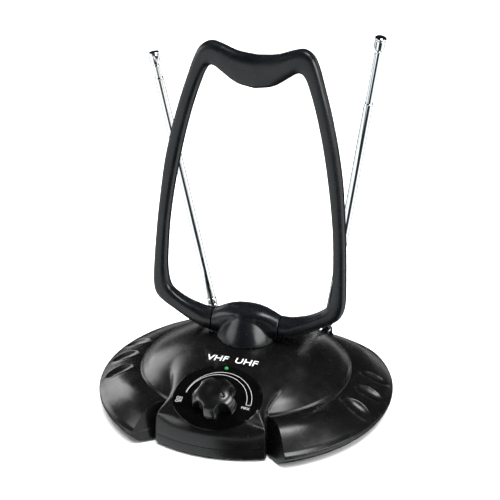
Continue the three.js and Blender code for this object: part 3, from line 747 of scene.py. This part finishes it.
# points on the loop's outer and inner edge, each across and up from the tilt axis, and half its depth
LOOP_EDGES = [
    (24, -8, 24, 8, 8.0), (29.5, -7.3, 30, 8.0, 7.6), (37, -4.0, 37, 9.3, 6.8),
    (44, -0.3, 42.6, 11.2, 6.2), (51, 3.6, 48, 14.0, 5.8), (58.5, 7.8, 52, 16.8, 5.4),
    (64, 12.6, 54.6, 19.8, 5.2), (66.5, 20.5, 56.3, 25.5, 5.0), (66.5, 34, 57.4, 36.5, 4.9),
    (65.1, 60, 56.7, 60, 4.8), (63.2, 82, 54.7, 81, 4.8), (60.5, 106, 51.2, 104, 4.8),
    (56.3, 128, 47, 126, 4.9), (51.1, 149, 41.8, 147, 5.0), (45.3, 168, 36.6, 163.5, 5.1),
    (41.2, 180, 33.4, 171.2, 5.2), (37.4, 186.8, 30.2, 174.3, 5.3), (31.4, 190.2, 26.6, 173.6, 5.4),
    (24.5, 189, 22.0, 170.4, 5.5), (13, 185.1, 12, 164.2, 5.5), (0, 183.7, 0, 161.8, 5.5),
]
LOOP_LEAN = math.radians(6.5)


def loop_frame():
    """Axes of the loop's plane at rest, which leans back from the tilt axis."""
    up = Vector((0, math.sin(LOOP_LEAN), math.cos(LOOP_LEAN)))
    right = Vector((1, 0, 0))
    return Matrix.Translation(HUB_POS) @ Matrix((right, up, right.cross(up))).transposed().to_4x4()


def loop_half(name, face, node):
    """One half of the loop's shell, on the side that face points to, with its section squarer further up."""
    half = spline(LOOP_EDGES, 9)
    path = np.vstack([half, (half * [-1, 1, -1, 1, 1])[-2::-1]])
    turns = np.linspace(0, math.pi, 26)
    rows = []
    for ox, oy, ix, iy, depth in path:
        outer, inner = np.array([ox, oy]), np.array([ix, iy])
        middle, arm = (outer + inner) / 2, (outer - inner) / 2
        square = 2.0 + 0.9 * smooth(26, 44, abs(middle[0]) + max(0, middle[1]))
        square += 0.5 * smooth(160, 176, middle[1])
        c = np.sign(np.cos(turns)) * np.abs(np.cos(turns)) ** (2 / square)
        s = np.abs(np.sin(turns)) ** (2 / square)
        xy = middle + arm * c[:, None]
        rows.append(np.column_stack([xy, face * (0.1 + (depth - 0.1) * s)]))
    cols = len(turns)
    faces = grid_faces(len(rows), cols, wrap_cols=True)
    faces.append(tuple(range(cols)))
    faces.append(tuple((len(rows) - 1) * cols + j for j in range(cols))[::-1])
    obj = from_faces(name, np.vstack(rows), faces, loop_frame(), 50)
    return finish_piece(obj, "loop", "satin_plastic", LOOP_SATIN_PAINTED_SHEEN, node)


# ---- telescopic rods -----------------------------------------------------------------------

def rod_place(side):
    """Place of a rod at rest: its origin at the pivot and Z along the tubes."""
    pivot, axis = joint_place(side + "_rod_tilt")
    along = Vector(JOINTS[side + "_tip_slide"]["axis"]).normalized()
    across = axis.cross(along).normalized()
    return Matrix.Translation(pivot) @ Matrix((across, along.cross(across), along)).transposed().to_4x4()


def along_rod(side, node):
    """Lowest and highest point of a CAD node along its rod, in mm from the pivot."""
    inverse = rod_place(side).inverted()
    z = [(inverse @ v.co).z / MM for v in NODES[node].data.vertices]
    return min(z), max(z)


def tube(side, level, outer, inner):
    node = f"rod_tube_{level}_{side}"
    low, high = along_rod(side, node)
    profile = rounded([(outer, low), (outer, high - 2.4), (outer, high - 0.9), (outer - 0.22, high),
                       (inner, high), (inner, low)], 0.12, 3)
    section = profile[1:] + profile[:1]
    obj = lathe(f"tube_{level}_{side}", section, rod_place(side), 48, 50)
    body = {1: "outer_tube", 2: "second_tube", 3: "third_tube"}[level]
    return finish_piece(obj, f"{side}_{body}", "rod_chrome", CHROME, node)


def tip(side):
    low, high = along_rod(side, f"rod_tip_{side}")
    base = high - 9
    profile = rounded([(0, low), (1.2, low), (1.2, base), (3.2, base), (3.6, base + 0.5),
                       (3.6, base + 6.3), (3.2, base + 6.6), (3.2, base + 6.9), (4.0, base + 7.1),
                       (4.05, base + 8.0), (3.2, high - 0.2), (0, high)], 0.3, 4)
    obj = lathe(f"tip_{side}", profile, rod_place(side), 56, 50)
    return finish_piece(obj, f"{side}_tip", "rod_chrome", CHROME, f"rod_tip_{side}")


def knuckle_collar(side):
    """Crimped ferrule at the foot of the outer tube."""
    profile = rounded([(2.4, 5.4), (3.45, 5.4), (3.45, 8.2), (3.2, 8.6), (3.2, 9.2), (3.45, 9.6),
                       (3.45, 12.4), (3.12, 13.2), (2.4, 13.2)], 0.25, 3)
    obj = lathe(f"rod_ferrule_{side}", profile, rod_place(side), 48, 50)
    return finish_piece(obj, f"{side}_outer_tube", "rod_chrome", CHROME)


# ---- sockets -------------------------------------------------------------------------------

def facing_back(node):
    """Place of a socket whose Z points out of the back, and its length in mm."""
    low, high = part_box(node)
    middle = (low + high) / 2
    start = Vector((middle.x, low.y, middle.z))
    return Matrix.Translation(start) @ Matrix.Rotation(-math.pi / 2, 4, "X"), (high.y - low.y) / MM


def aerial_socket():
    place, length = facing_back("coax_socket")
    profile = [(0, 0), (5.3, 0), (5.3, 4.6), (4.3, 4.8)]
    z = 5.0
    while z < length - 1.4:
        profile += [(4.7, z + 0.25), (4.3, z + 0.5)]
        z += 0.55
    profile += [(4.4, length - 0.4), (4.1, length), (3.2, length), (3.2, length - 9), (0.6, length - 9),
                (0.5, length - 2), (0, length - 1.7)]
    obj = lathe("aerial_socket", profile, place, 56, 30)
    return finish_piece(obj, "base", "rod_chrome", CHROME, "coax_socket")


def power_socket():
    place, length = facing_back("power_inlet")
    profile = [(0, 0), (4.9, 0), (4.9, length - 0.5), (4.5, length), (3.3, length), (3.1, length - 0.4),
               (3.1, 5), (0.9, 5), (0.9, length - 2.4), (0.6, length - 1.9), (0, length - 1.9)]
    obj = lathe("power_socket", rounded(profile, 0.2, 2), place, 56, 40)
    return finish_piece(obj, "base", "gloss_plastic", GLOSS, "power_inlet")


# ---- make everything -----------------------------------------------------------------------

dome_object = dome()
wings()
tray()
dome_surface = BVHTree.FromObject(dome_object, bpy.context.evaluated_depsgraph_get())
oval_plate(dome_surface)
gain_scale(dome_surface)
label("label_on_off", dome_surface, "ON\nOFF", 2.7, -23.8, -6.6, PRINT_LIFT, FINE_INK)
label("label_max", dome_surface, "MAX", 2.6, 20.8, -6.0, PRINT_LIFT, FINE_INK)
label("label_bands", dome_surface, "VHF  UHF", 8.2, 0.5, 32.5, 0.0, INK)
knob()
power_light()
turret()
loop_half("loop_front_shell", -1, "loop_front")
loop_half("loop_rear_shell", 1, "loop_rear")
# outer and inner radius of each tube, in mm
for rod in ("left", "right"):
    tube(rod, 1, 3.1, 2.7)
    tube(rod, 2, 2.45, 2.1)
    tube(rod, 3, 1.85, 1.5)
    tip(rod)
    knuckle_collar(rod)
aerial_socket()
power_socket()

# CAD nodes that stay as they are, with the material of each
CARRIED = {
    "anti_slip_pad": RUBBER, "ballast_plate": ZINC, "circuit_board": BOARD, "shield_can": ZINC,
    "smoothing_capacitor": GLOSS, "gain_potentiometer": ZINC, "potentiometer_nut": BRASS,
    "gain_shaft": ZINC, "loop_axle": ZINC, "friction_washer_left": NYLON,
    "friction_washer_right": NYLON, "loop_conductor": COPPER, "turret_screw_1": ZINC,
    "turret_screw_2": ZINC, "case_screw_1": ZINC, "case_screw_2": ZINC, "case_screw_3": ZINC,
    "case_screw_4": ZINC,
}
for rod in ("left", "right"):
    CARRIED.update({
        f"rod_swivel_{rod}": SATIN, f"rod_pin_{rod}": CHROME, f"rod_nut_{rod}": BRASS,
        f"rod_knuckle_{rod}": CHROME, f"rod_lead_{rod}": WIRE,
    })
for node_name, material in CARRIED.items():
    obj = NODES[node_name]
    obj.data.materials.clear()
    obj.data.materials.append(material)
    if node_name.startswith(("rod_swivel", "rod_knuckle", "rod_pin", "anti_slip", "case_screw")):
        add_bevel(obj, 0.18, 2, 30)


# ---- studio --------------------------------------------------------------------------------

def studio_floor():
    """A sweep: a floor that curves up into a wall behind the object. Glossy surfaces don't see it."""
    mesh = bpy.data.meshes.new("studio_floor")
    front, back, bend, top, half_width = -2.2, 1.2, 0.5, 2.7, 3.0
    rows = [(front, 0.0), (back, 0.0)]
    for turn in np.linspace(0.1, math.pi / 2, 12):
        rows.append((back + bend * math.sin(turn), bend * (1 - math.cos(turn))))
    rows.append((back + bend, top))
    points = [(x, y, z) for y, z in rows for x in (-half_width, half_width)]
    mesh.from_pydata(points, [], grid_faces(len(rows), 2))
    for polygon in mesh.polygons:
        polygon.use_smooth = True
    floor = add_object("studio_floor", mesh)
    m = Nodes("studio_white").set(Roughness=0.9)
    m.link(m.colours(m.noise(3, 3), (0.86, 0.86, 0.86), (0.9, 0.9, 0.9)), "Base Color")
    mesh.materials.append(m.material)
    floor.visible_glossy = False


def area_light(name, place, target, size, power):
    """A rectangular light in metres and watts that faces its target."""
    light = bpy.data.lights.new(name, "AREA")
    light.shape = "RECTANGLE"
    light.size, light.size_y = size
    light.energy = power
    obj = add_object(name, light)
    obj.location = place
    aim = Vector(target) - Vector(place)
    obj.rotation_euler = aim.to_track_quat("-Z", "Y").to_euler()
    return obj


# direction of the camera round the object and above it, in degrees
CAMERA_TURN = 17
CAMERA_UP = 25.44
CAMERA_DISTANCE = 1.2
# brightness of the room below the horizon, by share of a turn that starts and ends behind the object
BANDS = [(0.155, 0.03), (0.18, 0.95), (0.42, 0.95), (0.44, 0.02), (0.6, 0.02), (0.63, 1.0), (0.82, 1.0),
         (0.845, 0.03)]
BEHIND = 0.03
# heights, as part of a unit direction, between which the bands fade out and the room above gets dark
BANDS_END = (-0.1, -0.01)
ROOM_DARK = 0.07


def studio_world():
    """Dark room above the horizon, with light and dark bands below it that the chrome reflects."""
    world = bpy.data.worlds.new("studio")
    world.use_nodes = True
    tree = world.node_tree
    direction = tree.nodes.new("ShaderNodeTexCoord").outputs["Generated"]
    split = tree.nodes.new("ShaderNodeSeparateXYZ")
    tree.links.new(direction, split.inputs["Vector"])
    height = tree.nodes.new("ShaderNodeValToRGB")
    tree.links.new(split.outputs["Z"], height.inputs["Fac"])
    stops = height.color_ramp
    stops.elements[0].position = 0.0
    stops.elements[0].color = (1, 1, 1, 1)
    stops.elements[1].position = ROOM_DARK
    stops.elements[1].color = (0.008, 0.008, 0.009, 1)
    turn = tree.nodes.new("ShaderNodeMapping")
    turn.inputs["Rotation"].default_value = (0, 0, math.radians(90 - CAMERA_TURN))
    tree.links.new(direction, turn.inputs["Vector"])
    around = tree.nodes.new("ShaderNodeTexGradient")
    around.gradient_type = "RADIAL"
    tree.links.new(turn.outputs["Vector"], around.inputs["Vector"])
    bands = tree.nodes.new("ShaderNodeValToRGB")
    tree.links.new(around.outputs["Fac"], bands.inputs["Fac"])
    ramp = bands.color_ramp
    ramp.elements[0].position = 0.0
    ramp.elements[0].color = (BEHIND, BEHIND, BEHIND, 1)
    ramp.elements[1].position = 1.0
    ramp.elements[1].color = (BEHIND, BEHIND, BEHIND, 1)
    for place, level in BANDS:
        stop = ramp.elements.new(place)
        stop.color = (level * 0.92, level * 0.98, level, 1)
    mix = tree.nodes.new("ShaderNodeMix")
    mix.data_type = "RGBA"
    mix.blend_type = "MULTIPLY"
    mix.inputs["Factor"].default_value = 1.0
    low = tree.nodes.new("ShaderNodeMapRange")
    low.inputs["From Min"].default_value, low.inputs["From Max"].default_value = BANDS_END
    tree.links.new(split.outputs["Z"], low.inputs["Value"])
    near_floor = tree.nodes.new("ShaderNodeMix")
    near_floor.data_type = "RGBA"
    near_floor.inputs["B"].default_value = (1, 1, 1, 1)
    tree.links.new(low.outputs["Result"], near_floor.inputs["Factor"])
    tree.links.new(bands.outputs["Color"], near_floor.inputs["A"])
    tree.links.new(near_floor.outputs["Result"], mix.inputs["A"])
    tree.links.new(height.outputs["Color"], mix.inputs["B"])
    tree.links.new(mix.outputs["Result"], tree.nodes["Background"].inputs["Color"])
    tree.nodes["Background"].inputs["Strength"].default_value = 1.3
    return world


def studio_lights():
    bpy.context.scene.world = studio_world()
    middle = (0, 0, 0.05)
    area_light("left_softbox", (-1.1, 0.66, 0.42), middle, (0.6, 0.5), 3.5)
    area_light("front_left_box", (-0.97, -0.5, 0.5), middle, (0.85, 0.45), 4)
    area_light("right_softbox", (1.0, -0.24, 0.58), middle, (0.95, 0.45), 10)
    area_light("top_right_box", (0.46, -0.1, 1.2), middle, (0.4, 0.4), 6)
    wash = area_light("floor_wash", (0, 0.3, 2.4), (0, 0.3, 0), (3.0, 3.0), 190)
    wash.visible_glossy = False


def camera():
    """A long lens aimed so that the whole object is in view."""
    turn, lift = math.radians(CAMERA_TURN), math.radians(CAMERA_UP)
    level = math.cos(lift)
    back = Vector((math.sin(turn) * level, -math.cos(turn) * level, math.sin(lift)))
    right = Vector((math.cos(turn), math.sin(turn), 0))
    up = back.cross(right)
    data = bpy.data.cameras.new("camera")
    data.sensor_width = 36
    data.lens = 126.4
    obj = add_object("camera", data)
    place = 0.0026 * right + 0.0978 * up + CAMERA_DISTANCE * back
    obj.matrix_world = Matrix.Translation(place) @ Matrix((right, up, back)).transposed().to_4x4()
    bpy.context.scene.camera = obj


studio_floor()
studio_lights()
camera()
bpy.context.scene.view_settings.view_transform = "Standard"
